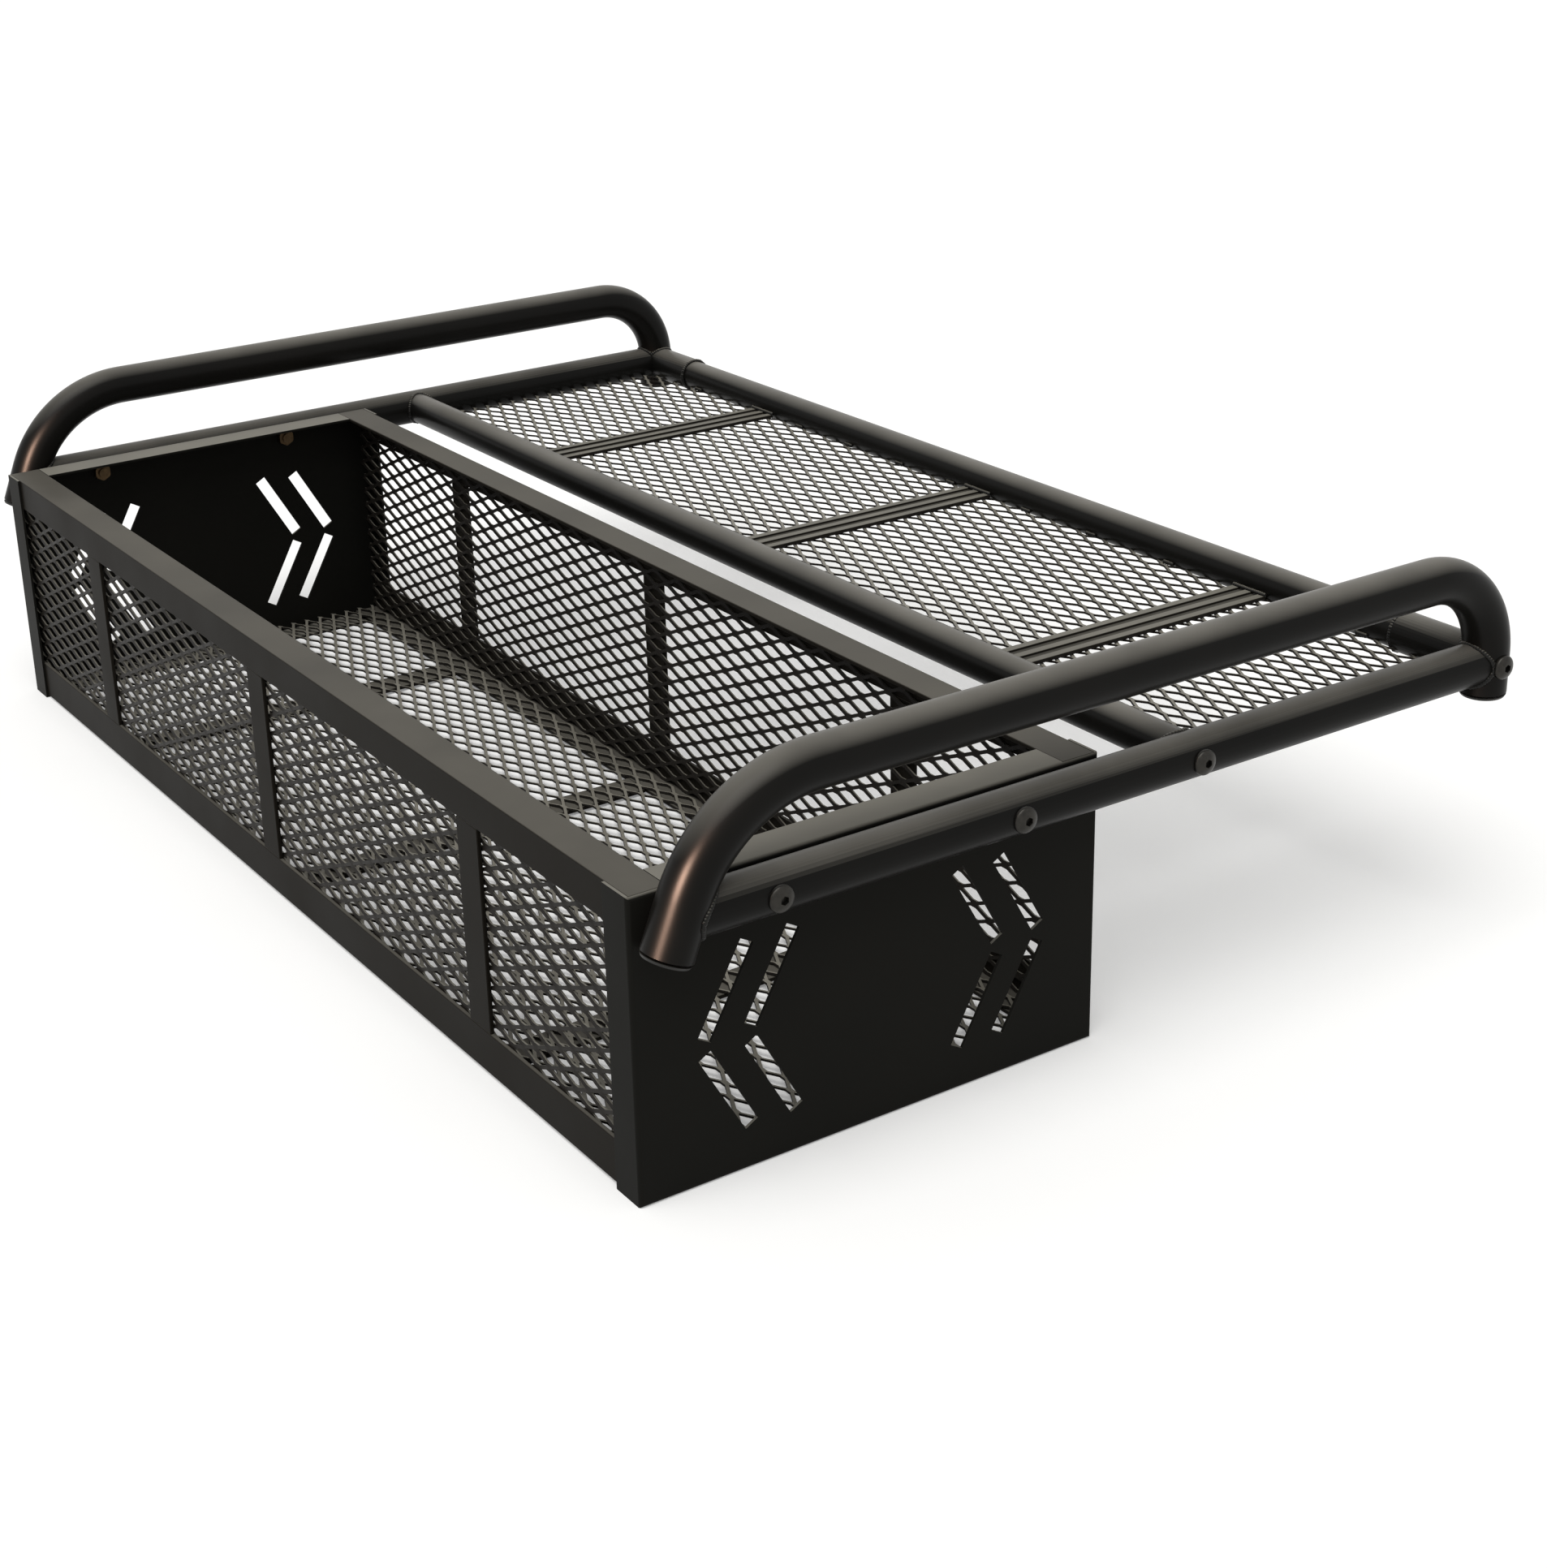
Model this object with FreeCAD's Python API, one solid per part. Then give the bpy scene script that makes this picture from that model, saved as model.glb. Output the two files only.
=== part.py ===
"""Rear cargo rack for a four-wheeled all-terrain vehicle.

Two bent tube hoops stand on two side tubes. Two cross tubes carry a mesh deck
at the front, and a mesh basket hangs between the side tubes at the rear. The
hoops and side tubes are closed all round, so they are drawn solid inside.

Millimetres. +X is the rack's right, +Y is forward and +Z is up. The pieces are
drawn with Y measured from the basket's rear face and Z from its underside. At
the end they move together along Y, so that the origin is under the middle of
the rack's outline.
"""
import os

import FreeCAD
import Part
from math import cos, radians, sin, sqrt, tan

Vector = FreeCAD.Vector

# Side frames: the hoops and the side tubes between their legs
hoop_spacing = 1060.0
hoop_tube_od = 31.75
hoop_rise = 69.0
hoop_front_bend = 62.0
hoop_rear_foot_y = 14.2
hoop_rear_slope = 68.0
hoop_rear_bend = 96.0
leg_overrun = 22.0
side_tube_od = 30.0
side_tube_height = 187.0
cope_ear_stop = 6.0

# Cross tubes and the sleeves at the front corners
middle_tube_setback = 60.0
deck_length = 269.0
cross_tube_od = 26.8
cross_tube_wall = 2.0
sleeve_clearance = 0.1
sleeve_wall = 1.5
sleeve_length = 56.0
sleeve_end_gap = 2.0

# Deck
deck_strip_top_drop = 5.0
deck_strip_width = 33.0
deck_strip_thickness = 3.0
deck_strip_groove_width = 9.0
deck_strip_groove_depth = 0.8
frame_pitch = 320.0

# Basket
basket_depth = 340.0
rim_rise = 12.0
panel_sheet = 2.0
panel_flange = 27.0
panel_bend_radius = 3.0
angle_leg = 25.4
angle_thickness = 3.0
bottom_rail_height = 30.0
bottom_rail_shelf = 25.0
upright_width = 27.0
upright_thickness = 3.0
floor_strip_width = 27.0

# Chevron slots in the end panels
chevron_height = 90.0
chevron_inner_reach = 91.0
chevron_outer_reach = 123.0
chevron_arm_run = 31.0
chevron_arm_rise = 55.0
chevron_half_gap = 5.0
slot_width = 10.0

# Expanded mesh: one modelled diamond stands for a block of the real small ones
mesh_thickness = 2.0
mesh_long_pitch = 172.0
mesh_short_pitch = 60.0
mesh_strand = 8.5
mesh_border = 9.0

# Derived sizes
hoop_x = hoop_spacing / 2
hoop_radius = hoop_tube_od / 2
side_radius = side_tube_od / 2
side_x = hoop_x - hoop_radius + side_radius
cross_radius = cross_tube_od / 2
sleeve_radius = cross_radius + sleeve_clearance + sleeve_wall
middle_tube_y = basket_depth + middle_tube_setback
front_tube_y = middle_tube_y + deck_length
hoop_top_z = side_tube_height + hoop_rise
foot_z = side_tube_height - leg_overrun
panel_x = hoop_x - hoop_radius
rim_z = side_tube_height + rim_rise
frame_rear_y = panel_sheet
frame_front_y = basket_depth - panel_sheet
frame_half_length = panel_x - panel_sheet
rail_z = panel_sheet
frame_places = {"left": -frame_pitch, "centre": 0.0, "right": frame_pitch}
AXIS_X = Vector(1, 0, 0)
AXIS_Y = Vector(0, 1, 0)
AXIS_Z = Vector(0, 0, 1)

parts = {}


def box(low, high):
    """A block between two opposite corners."""
    size = [b - a for a, b in zip(low, high)]
    return Part.makeBox(*size, Vector(*low))


def prism(points, length, direction):
    """A closed outline pushed along a direction."""
    wire = Part.makePolygon([Vector(*p) for p in points] + [Vector(*points[0])])
    return Part.Face(wire).extrude(direction * length)


def mirrored_x(shape):
    """The same piece on the other side of the rack."""
    return shape.mirror(Vector(0, 0, 0), AXIS_X)


def both_sides(shape):
    """A piece and its mirror image, as two solids of one part."""
    return Part.makeCompound([shape, mirrored_x(shape)])


def round_bar(start, end, radius):
    """A solid round bar between two points."""
    start = Vector(*start)
    run = Vector(*end) - start
    return Part.makeCylinder(radius, run.Length, start, run)


def open_tube(start, end, radius, wall):
    return round_bar(start, end, radius).cut(round_bar(start, end, radius - wall))


def bent_bar(corners, bends, radius):
    """A round bar through the corners, with a tangent arc of each given radius at the inner ones."""
    corners = [Vector(*c) for c in corners]
    edges = []
    last = corners[0]
    for before, corner, after, bend in zip(corners, corners[1:], corners[2:], bends):
        back = (before - corner).normalize()
        ahead = (after - corner).normalize()
        half_angle = back.getAngle(ahead) / 2
        reach = bend / tan(half_angle)
        middle = (back + ahead).normalize()
        arc_start = corner + back * reach
        arc_end = corner + ahead * reach
        arc_middle = corner + middle * (bend / sin(half_angle) - bend)
        edges.append(Part.LineSegment(last, arc_start).toShape())
        edges.append(Part.Arc(arc_start, arc_middle, arc_end).toShape())
        last = arc_end
    edges.append(Part.LineSegment(last, corners[-1]).toShape())
    path = Part.Wire(edges)
    start_direction = corners[1] - corners[0]
    section = Part.Wire([Part.makeCircle(radius, corners[0], start_direction)])
    return path.makePipe(Part.Face(section))


# Hoops: one bent tube on each side, from the rear foot over the top to the front foot
rear_corner_y = hoop_rear_foot_y + (hoop_top_z - foot_z) / tan(radians(hoop_rear_slope))
hoop_corners = [
    (hoop_x, hoop_rear_foot_y, foot_z),
    (hoop_x, rear_corner_y, hoop_top_z),
    (hoop_x, front_tube_y, hoop_top_z),
    (hoop_x, front_tube_y, foot_z),
]
hoop = bent_bar(hoop_corners, [hoop_rear_bend, hoop_front_bend], hoop_radius)
parts["hoop_rails"] = both_sides(hoop)

# Side tubes: coped at both ends to fit round the hoop's legs, and flush with them towards the basket
rear_leg_y = hoop_rear_foot_y + leg_overrun / tan(radians(hoop_rear_slope))
side_axis_rear = (side_x, rear_leg_y + cope_ear_stop, side_tube_height)
side_axis_front = (side_x, front_tube_y - cope_ear_stop, side_tube_height)
side_bar = round_bar(side_axis_rear, side_axis_front, side_radius)
parts["side_tubes"] = both_sides(side_bar.cut(hoop))

# Middle cross tube: coped against the side tubes
middle_start = (-side_x, middle_tube_y, side_tube_height)
middle_end = (side_x, middle_tube_y, side_tube_height)
middle_tube = open_tube(middle_start, middle_end, cross_radius, cross_tube_wall)
parts["cross_tube_middle"] = middle_tube.cut(side_bar).cut(mirrored_x(side_bar))

# Front corner sleeves: open stubs coped to the hoop's front legs, with the front cross tube inside
leg_face_x = hoop_x - hoop_radius
sleeve_start = (leg_face_x - sleeve_length, front_tube_y, side_tube_height)
sleeve_stop = (side_x, front_tube_y, side_tube_height)
sleeve_bar = round_bar(sleeve_start, sleeve_stop, sleeve_radius)
sleeve = open_tube(sleeve_start, sleeve_stop, sleeve_radius, sleeve_wall)
parts["corner_sleeves"] = both_sides(sleeve.cut(hoop).cut(side_bar))
front_half = leg_face_x - sleeve_end_gap
front_start = (-front_half, front_tube_y, side_tube_height)
front_end = (front_half, front_tube_y, side_tube_height)
parts["cross_tube_front"] = open_tube(front_start, front_end, cross_radius, cross_tube_wall)

# End panels: sheet folded on all four sides into a shallow pan that faces the basket
panel_low = (panel_x - panel_flange, 0, 0)
panel_high = (panel_x, basket_depth, rim_z)
panel_blank = box(panel_low, panel_high)
outer_edges = []
for edge in panel_blank.Edges:
    runs_along_x = abs(edge.BoundBox.XLength) > panel_sheet
    on_outside = edge.BoundBox.XMin > panel_x - panel_sheet
    if on_outside and not runs_along_x:
        outer_edges.append(edge)
panel_blank = panel_blank.makeFillet(panel_bend_radius, outer_edges)
hollow_low = (panel_x - panel_flange, panel_sheet, panel_sheet)
hollow_high = (panel_x - panel_sheet, basket_depth - panel_sheet, rim_z - panel_sheet)
end_panel = panel_blank.cut(box(hollow_low, hollow_high))

# The top flange stops at the rims, which lie flush with it
for notch_rear, notch_front in (
    (frame_rear_y, frame_rear_y + angle_leg),
    (frame_front_y - angle_leg, frame_front_y),
):
    notch_low = (panel_x - panel_flange, notch_rear, rim_z - panel_flange)
    notch_high = (frame_half_length, notch_front, rim_z)
    end_panel = end_panel.cut(box(notch_low, notch_high))


def slot(start, end):
    """A straight slot with square ends, right through the end panel."""
    start_x = panel_x - 2 * panel_sheet
    length = 4 * panel_sheet
    run = Vector(0, end[0] - start[0], end[1] - start[1])
    across = Vector(0, -run.z, run.y).normalize() * (slot_width / 2)
    first = Vector(start_x, *start)
    second = Vector(start_x, *end)
    corners = (first - across, second - across, second + across, first + across)
    return prism([tuple(corner) for corner in corners], length, AXIS_X)


for reach in (chevron_inner_reach, chevron_outer_reach):
    for facing in (-1, 1):
        for rising in (-1, 1):
            tip_y = basket_depth / 2 + facing * reach
            tail_y = basket_depth / 2 + facing * (reach - chevron_arm_run)
            tip_z = chevron_height + rising * chevron_half_gap
            tail_z = tip_z + rising * chevron_arm_rise
            end_panel = end_panel.cut(slot((tip_y, tip_z), (tail_y, tail_z)))
parts["end_panel_right"] = end_panel
parts["end_panel_left"] = mirrored_x(end_panel)


def angle_bar(wall_y, inward, shelf_z, wall_end_z, shelf_reach):
    """An angle along the basket: a wall at its outer face and a shelf that points into the basket."""
    down = 1 if wall_end_z > shelf_z else -1
    outline = [
        (wall_y, shelf_z),
        (wall_y + inward * shelf_reach, shelf_z),
        (wall_y + inward * shelf_reach, shelf_z + down * angle_thickness),
        (wall_y + inward * angle_thickness, shelf_z + down * angle_thickness),
        (wall_y + inward * angle_thickness, wall_end_z),
        (wall_y, wall_end_z),
    ]
    start_x = -frame_half_length
    return prism([(start_x, y, z) for y, z in outline], 2 * frame_half_length, AXIS_X)


# Basket frame: rims, bottom rails, uprights and floor strips
rim_foot_z = rim_z - angle_leg
rail_top_z = rail_z + bottom_rail_height
shelf_top_z = rail_z + angle_thickness
for side, wall_y, inward in (("rear", frame_rear_y, 1), ("front", frame_front_y, -1)):
    parts["rim_angle_" + side] = angle_bar(wall_y, inward, rim_z, rim_foot_z, angle_leg)
    parts["bottom_rail_" + side] = angle_bar(wall_y, inward, rail_z, rail_top_z, bottom_rail_shelf)
    upright_near, upright_far = sorted((wall_y, wall_y + inward * upright_thickness))
    for place, centre_x in frame_places.items():
        low = (centre_x - upright_width / 2, upright_near, rail_top_z)
        high = (centre_x + upright_width / 2, upright_far, rim_foot_z)
        parts["upright_" + side + "_" + place] = box(low, high)
for place, centre_x in frame_places.items():
    low = (centre_x - floor_strip_width / 2, frame_rear_y + bottom_rail_shelf, rail_z)
    high = (centre_x + floor_strip_width / 2, frame_front_y - bottom_rail_shelf, shelf_top_z)
    parts["floor_strip_" + place] = box(low, high)


def mesh_sheet(width, depth, open_edges=False):
    """A flat sheet of expanded mesh, centred in X, from Y = 0 and from Z = 0 upwards.

    The diamonds are long along X and stand in staggered rows. Their pitch is the nearest
    that fits a whole number of them inside the sheet's border. Half diamonds lie along
    the border of a sheet with open edges.
    """
    window_x = width / 2 - mesh_border
    window_depth = depth - 2 * mesh_border
    columns = max(1, round((2 * window_x + 2 * mesh_strand) / mesh_long_pitch))
    rows = max(1, round((window_depth + mesh_strand) / mesh_short_pitch))
    long_pitch = (2 * window_x + 2 * mesh_strand) / columns
    short_pitch = (window_depth + mesh_strand) / rows
    half_long = (long_pitch - mesh_strand * 2) / 2
    half_short = (short_pitch - mesh_strand) / 2
    outline = [(-width / 2, 0, 0), (width / 2, 0, 0), (width / 2, depth, 0), (-width / 2, depth, 0)]
    sheet = prism(outline, mesh_thickness, AXIS_Z)
    window = box((-window_x, mesh_border, 0), (window_x, mesh_border + window_depth, mesh_thickness))
    diamonds = []
    for row in range(2 * rows + 1):
        full_row = row % 2
        y = mesh_border + (row * short_pitch - mesh_strand) / 2
        at_end = row in (0, 2 * rows)
        for column in range(columns + 1 - full_row):
            x = (column - (columns - full_row) / 2) * long_pitch
            at_side = abs(x) > window_x
            if at_end and at_side:
                continue
            halved = at_end or at_side
            if halved and not open_edges:
                continue
            sides = [(x - half_long, y, 0), (x + half_long, y, 0)]
            ends = [(x, y - half_short, 0), (x, y + half_short, 0)]
            diamond = prism([sides[0], ends[0], sides[1], ends[1]], mesh_thickness, AXIS_Z)
            diamonds.append(diamond.common(window) if halved else diamond)
    return sheet.cut(Part.makeCompound(diamonds))


# Basket mesh: walls inside the uprights, and a floor on the shelves and strips
wall_mesh_height = rim_z - angle_thickness - shelf_top_z
wall_mesh = mesh_sheet(2 * frame_half_length, wall_mesh_height)
wall_mesh.rotate(Vector(0, 0, 0), AXIS_X, 90)
rear_mesh_y = frame_rear_y + angle_thickness
front_mesh_y = frame_front_y - angle_thickness
parts["basket_mesh_rear"] = wall_mesh.translated(Vector(0, rear_mesh_y + mesh_thickness, shelf_top_z))
parts["basket_mesh_front"] = wall_mesh.translated(Vector(0, front_mesh_y, shelf_top_z))
floor_depth = front_mesh_y - rear_mesh_y - 2 * mesh_thickness
floor_mesh = mesh_sheet(2 * frame_half_length, floor_depth)
parts["basket_mesh_floor"] = floor_mesh.translated(Vector(0, rear_mesh_y + mesh_thickness, shelf_top_z))


def tube_reach(radius, drop):
    """How far a round tube's surface stands out from its axis at a height below the axis."""
    return sqrt(radius ** 2 - drop ** 2)


# Deck: mesh let in between the four tubes just below their middle, with strips on top
deck_top_drop = deck_strip_top_drop + deck_strip_thickness
deck_rear_y = middle_tube_y + tube_reach(cross_radius, deck_top_drop)
deck_front_y = front_tube_y - tube_reach(cross_radius, deck_top_drop)
deck_half_width = side_x - tube_reach(side_radius, deck_top_drop)
deck_mesh = mesh_sheet(2 * deck_half_width, deck_front_y - deck_rear_y, open_edges=True)
deck_mesh_z = side_tube_height - deck_top_drop - mesh_thickness
deck_mesh = deck_mesh.translated(Vector(0, deck_rear_y, deck_mesh_z))
for corner_piece in (sleeve_bar, hoop):
    deck_mesh = deck_mesh.cut(corner_piece).cut(mirrored_x(corner_piece))
parts["deck_mesh"] = deck_mesh

strip_rear_y = middle_tube_y + tube_reach(cross_radius, deck_strip_top_drop)
strip_front_y = front_tube_y - tube_reach(cross_radius, deck_strip_top_drop)
strip_top_z = side_tube_height - deck_strip_top_drop
strip_foot_z = strip_top_z - deck_strip_thickness
groove_z = strip_top_z - deck_strip_groove_depth
land = (deck_strip_width - 2 * deck_strip_groove_width) / 3
groove_start = land / 2
groove_end = groove_start + deck_strip_groove_width
half_outline = [
    (deck_strip_width / 2, strip_foot_z),
    (deck_strip_width / 2, strip_top_z),
    (groove_end, strip_top_z),
    (groove_end, groove_z),
    (groove_start, groove_z),
    (groove_start, strip_top_z),
]
strip_outline = half_outline + [(-x, z) for x, z in reversed(half_outline)]
for place, centre_x in frame_places.items():
    outline = [(centre_x + x, strip_rear_y, z) for x, z in strip_outline]
    parts["deck_strip_" + place] = prism(outline, strip_front_y - strip_rear_y, AXIS_Y)

# The outline's middle, between the rear foot and the front leg
outline_rear_y = hoop_rear_foot_y - hoop_radius * sin(radians(hoop_rear_slope))
outline_front_y = front_tube_y + hoop_radius
to_origin = Vector(0, -(outline_rear_y + outline_front_y) / 2, 0)

os.makedirs("parts", exist_ok=True)
for name, shape in parts.items():
    shape.translated(to_origin).exportStep("parts/" + name + ".step")
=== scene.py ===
import math

import bmesh
import bpy
from mathutils import Matrix, Vector


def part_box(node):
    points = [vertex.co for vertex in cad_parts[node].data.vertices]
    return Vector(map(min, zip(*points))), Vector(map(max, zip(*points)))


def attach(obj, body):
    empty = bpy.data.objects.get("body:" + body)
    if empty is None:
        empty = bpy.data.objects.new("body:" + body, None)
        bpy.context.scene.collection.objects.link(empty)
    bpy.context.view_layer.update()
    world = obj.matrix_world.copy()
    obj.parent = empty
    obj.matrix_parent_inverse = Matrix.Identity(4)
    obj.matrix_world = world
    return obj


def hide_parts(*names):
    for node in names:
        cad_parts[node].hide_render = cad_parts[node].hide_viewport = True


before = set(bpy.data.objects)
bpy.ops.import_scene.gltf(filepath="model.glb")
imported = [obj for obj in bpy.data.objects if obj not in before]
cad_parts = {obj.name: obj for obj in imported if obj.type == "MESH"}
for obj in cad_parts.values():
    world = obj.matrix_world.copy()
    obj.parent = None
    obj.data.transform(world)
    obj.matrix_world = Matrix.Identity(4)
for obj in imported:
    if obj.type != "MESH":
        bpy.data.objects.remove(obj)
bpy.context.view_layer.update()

# The view of the photograph: from beyond the rear right corner, 0.8 m above the floor that
# the basket stands on. The picture was cropped, so its centre is off the lens's axis.
MM = 0.001
PICTURE_WIDTH = 1906
PICTURE_HEIGHT = 1932
FOCAL_PIXELS = 3141.78
AXIS_PIXEL = (887.39, 844.85)
SENSOR = 36.0
CAMERA_PLACE = Vector((1.6020, -0.97356, 0.81673))
YAW = math.radians(57.363)
PITCH = math.radians(-21.460)
ROLL = math.radians(-1.788)

forward = Vector((-math.sin(YAW) * math.cos(PITCH), math.cos(YAW) * math.cos(PITCH), math.sin(PITCH)))
level_right = forward.cross(Vector((0, 0, 1))).normalized()
level_up = level_right.cross(forward)
right = level_right * math.cos(ROLL) + level_up * math.sin(ROLL)
up = level_up * math.cos(ROLL) - level_right * math.sin(ROLL)
lens = bpy.data.cameras.new("photograph_lens")
lens.sensor_width = SENSOR
lens.lens = FOCAL_PIXELS * SENSOR / PICTURE_HEIGHT
lens.shift_x = (PICTURE_WIDTH / 2 - AXIS_PIXEL[0]) / PICTURE_HEIGHT
lens.shift_y = (AXIS_PIXEL[1] - PICTURE_HEIGHT / 2) / PICTURE_HEIGHT
camera = bpy.data.objects.new("photograph_camera", lens)
camera.matrix_world = Matrix.Translation(CAMERA_PLACE) @ Matrix((right, up, -forward)).transposed().to_4x4()
bpy.context.scene.collection.objects.link(camera)
bpy.context.scene.camera = camera

# The two hoops: 1 1/4 inch steel tube bent cold over dies, with a raked rear leg and an
# upright front one. Each leg runs a little past the side tube and is plugged.
HOOP_RADIUS = 15.875 * MM
HOOP_OFFSET = 530 * MM
HOOP_TOP = 256 * MM
LEG_END = 165 * MM
REAR_FOOT = -327.98 * MM
FRONT_LEG = 326.82 * MM
REAR_RAKE = math.radians(68)
REAR_BEND = 96 * MM
FRONT_BEND = 62 * MM
PLUG_RIM = 1.6 * MM
ROUND_STEPS = 64
BEND_STEPS = 40


def linear(hex_colour):
    """A written sRGB colour, as the linear values that Blender's sockets take."""
    parts = [int(hex_colour[i:i + 2], 16) / 255 for i in (1, 3, 5)]
    return [p / 12.92 if p <= 0.04045 else ((p + 0.055) / 1.055) ** 2.4 for p in parts] + [1.0]


def add(tree, kind, inputs=None, **settings):
    """One node of a tree, with its settings, and its sockets given a value or a link."""
    made = tree.nodes.new(kind)
    for name, value in settings.items():
        setattr(made, name, value)
    for socket, value in (inputs or {}).items():
        if isinstance(value, bpy.types.NodeSocket):
            tree.links.new(value, made.inputs[socket])
        else:
            made.inputs[socket].default_value = value
    return made


def reckon(tree, operation, *values):
    """One sum in a tree: the socket that gives its result."""
    return add(tree, "ShaderNodeMath", dict(enumerate(values)), operation=operation).outputs[0]


# Upward faces take a lighter colour, partly dust and partly painted highlight, thinned in patches.
DUST_AND_HIGHLIGHT_FROM = 0.55
DRIFT_LOW = 0.3
DRIFT_HIGH = 0.7
THIN_DUST_AND_HIGHLIGHT = 0.7
# How much of the lighter colour the groove floors keep, as painted shade, and over what height that shade
# fades in.
GROOVE_PAINTED_SHADE = 0.35
GROOVE_SHADE_BLEND_MM = 0.4


def powder_coat(name, deep, worn, dust_and_highlight, rough, grain_mm, grain_height_mm, drift_mm, level, groove_shade_below_mm=None):
    """Black polyester powder, sprayed dry and baked. It flows to a fine orange peel, whose
    gloss drifts a little over the piece. Where the surface faces up, a lighter colour is painted
    on in patches, partly dust and partly a painted highlight of the light from above. When a
    height is given, surfaces below it keep only part of that colour, as painted shade."""
    made = bpy.data.materials.new(name)
    made.use_nodes = True
    tree = made.node_tree
    tree.nodes.clear()
    place = add(tree, "ShaderNodeTexCoord").outputs["Object"]
    drift = add(tree, "ShaderNodeTexNoise", {"Vector": place, "Scale": 1 / (drift_mm * MM), "Detail": 3.0})
    grain = add(tree, "ShaderNodeTexNoise", {"Vector": place, "Scale": 1 / (grain_mm * MM), "Detail": 2.0})
    facing = add(tree, "ShaderNodeSeparateXYZ", {0: add(tree, "ShaderNodeNewGeometry").outputs["Normal"]})
    # Painted highlight and dust: faces that turn up take a lighter colour, as light from above would lift
    # them.
    up_dust_and_highlight = add(tree, "ShaderNodeMapRange", {"Value": facing.outputs["Z"], "From Min": DUST_AND_HIGHLIGHT_FROM})
    patches = add(tree, "ShaderNodeMapRange", {
        "Value": drift.outputs["Fac"], "From Min": DRIFT_LOW, "From Max": DRIFT_HIGH, "To Min": THIN_DUST_AND_HIGHLIGHT})
    dust_and_highlight_cover = reckon(tree, "MULTIPLY", up_dust_and_highlight.outputs["Result"], patches.outputs["Result"])
    # Painted shade: below the given height, as on the groove floors, only part of the lighter colour is kept.
    if groove_shade_below_mm:
        height = add(tree, "ShaderNodeSeparateXYZ", {0: place}).outputs["Z"]
        groove_shade = add(tree, "ShaderNodeMapRange", {
            "Value": height, "From Min": (groove_shade_below_mm - GROOVE_SHADE_BLEND_MM) * MM, "From Max": (groove_shade_below_mm + GROOVE_SHADE_BLEND_MM) * MM,
            "To Min": GROOVE_PAINTED_SHADE})
        dust_and_highlight_cover = reckon(tree, "MULTIPLY", dust_and_highlight_cover, groove_shade.outputs["Result"])
    paint = add(tree, "ShaderNodeMix", {0: drift.outputs["Fac"], 6: linear(deep), 7: linear(worn)},
                data_type="RGBA")
    dust_and_highlight_mix = add(tree, "ShaderNodeMix", {0: dust_and_highlight_cover, 6: paint.outputs[2], 7: linear(dust_and_highlight)},
                data_type="RGBA")
    gloss = add(tree, "ShaderNodeMapRange", {
        "Value": drift.outputs["Fac"], "From Min": DRIFT_LOW, "From Max": DRIFT_HIGH,
        "To Min": rough[0], "To Max": rough[1]})
    peel = add(tree, "ShaderNodeBump", {"Height": grain.outputs["Fac"], "Strength": 1.0,
                                        "Distance": grain_height_mm * MM})
    shader = add(tree, "ShaderNodeBsdfPrincipled", {
        "Base Color": dust_and_highlight_mix.outputs[2], "Roughness": gloss.outputs["Result"],
        "Specular IOR Level": level, "Normal": peel.outputs["Normal"]})
    add(tree, "ShaderNodeOutputMaterial", {"Surface": shader.outputs["BSDF"]})
    return made


# Tube takes the powder evenly all round: the smoothest, glossiest coat on the rack. Its crests carry a long
# soft highlight, partly from gloss and partly painted on in the light dust colour, and the undersides stay
# black.
tube_coat = powder_coat("black_powder_coat_on_tube", "#0e0e0d", "#151412", "#716e67", (0.28, 0.36),
                        1.4, 0.010, 70, 0.07)


def size_tree(name, sizes):
    """An empty geometry tree with a named number for each size, its first node, and their identifiers."""
    tree = bpy.data.node_groups.new(name, "GeometryNodeTree")
    tree.interface.new_socket("Geometry", in_out="INPUT", socket_type="NodeSocketGeometry")
    keys = {size: tree.interface.new_socket(size, in_out="INPUT", socket_type="NodeSocketFloat").identifier
            for size in sizes}
    tree.interface.new_socket("Geometry", in_out="OUTPUT", socket_type="NodeSocketGeometry")
    return tree, tree.nodes.new("NodeGroupInput"), keys


def end_tree(tree, shape, coat):
    """Realises what the tree made, gives it its coat, and ends the tree."""
    real = add(tree, "GeometryNodeRealizeInstances", {0: shape})
    painted = add(tree, "GeometryNodeSetMaterial", {0: real.outputs[0], "Material": coat})
    add(tree, "NodeGroupOutput", {0: painted.outputs[0]})


def grow(name, start, tree, keys, sizes, smooth=math.radians(35)):
    """The plain mesh that a tree makes of a start mesh at the given sizes, smooth between edges."""
    source = bpy.data.objects.new(name + "_source", start)
    bpy.context.scene.collection.objects.link(source)
    grown = source.modifiers.new("tree", "NODES")
    grown.node_group = tree
    for size, value in sizes.items():
        grown[keys[size]] = float(value)
    seen = source.evaluated_get(bpy.context.evaluated_depsgraph_get())
    mesh = bpy.data.meshes.new_from_object(seen)
    mesh.name = name
    source.modifiers.remove(grown)
    bpy.data.objects.remove(source)
    piece = bpy.data.objects.new(name, mesh)
    bpy.context.scene.collection.objects.link(piece)
    mesh.polygons.foreach_set("use_smooth", [True] * len(mesh.polygons))
    mesh.set_sharp_from_angle(angle=smooth)
    return piece


def paths(name, lines, **values):
    """A mesh of open lines of points, with a number of each point kept as a named attribute."""
    mesh = bpy.data.meshes.new(name)
    points = [p for line in lines for p in line]
    edges = []
    first = 0
    for line in lines:
        edges += [(first + i, first + i + 1) for i in range(len(line) - 1)]
        first += len(line)
    mesh.from_pydata(points, edges, [])
    for key, numbers in values.items():
        mesh.attributes.new(key, "FLOAT", "POINT").data.foreach_set("value", numbers)
    return mesh


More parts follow.
